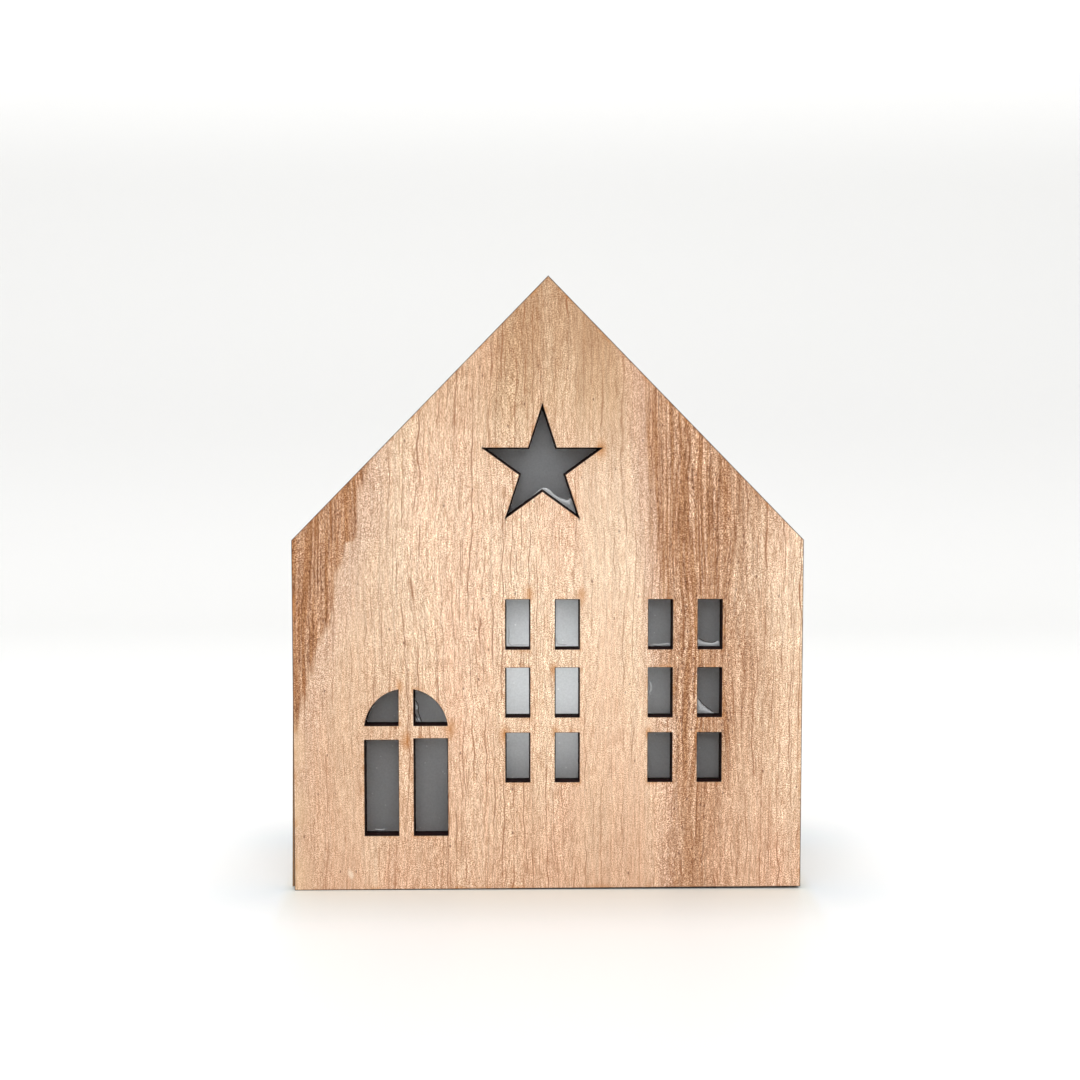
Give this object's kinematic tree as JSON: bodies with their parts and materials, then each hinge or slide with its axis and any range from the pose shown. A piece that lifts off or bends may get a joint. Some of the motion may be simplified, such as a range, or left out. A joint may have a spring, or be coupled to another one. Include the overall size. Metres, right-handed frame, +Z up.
{
  "type": "tealight house",
  "caption": "Small gabled lantern house of laser-cut plywood with frosted windows, an arched door and a star, lit by a battery tealight pushed into its back.",
  "frame": {"origin": "on the table, under the middle of the house's floor", "axes": "+X to the right seen from the front, +Y to the rear, +Z up"},
  "size_m": [0.126, 0.0524, 0.1506],
  "materials": {
    "plywood": "raw",
    "frosted_film": "frosted",
    "white_plastic": "satin",
    "grey_plastic": "satin",
    "flame_plastic": "frosted",
    "clear_resin": "clear",
    "tinned_wire": "tinned",
    "contact_steel": "plated",
    "cell_steel": "brushed"
  },
  "bodies": {
    "house": {"front_panel": "plywood", "back_panel": "plywood", "left_wall": "plywood", "right_wall": "plywood", "left_roof": "plywood", "right_roof": "plywood", "floor_panel": "plywood", "window_film": "frosted_film"},
    "tealight": {"tealight_cup": "white_plastic", "base_cap": "white_plastic", "flame_lens": "flame_plastic", "led_bulb": "clear_resin", "anode_lead": "tinned_wire", "cathode_lead": "tinned_wire", "plus_contact": "contact_steel", "minus_contact": "contact_steel", "coin_cell": "cell_steel"},
    "battery_door": {"battery_door": "white_plastic"},
    "switch": {"switch_knob": "grey_plastic", "switch_contact": "contact_steel"}
  },
  "joints": [
    {"name": "tealight_pull", "type": "slide", "parent": "house", "child": "tealight", "axis": [0, 1, 0], "range_m": [0, 0.06]},
    {"name": "battery_door_hinge", "type": "hinge", "parent": "tealight", "child": "battery_door", "pos_m": [0, 0.0255, 0.06126], "axis": [1, 0, 0], "range_deg": [0, 100]},
    {"name": "switch_slide", "type": "slide", "parent": "tealight", "child": "switch", "axis": [1, 0, 0], "range_m": [0, 0.003]}
  ]
}
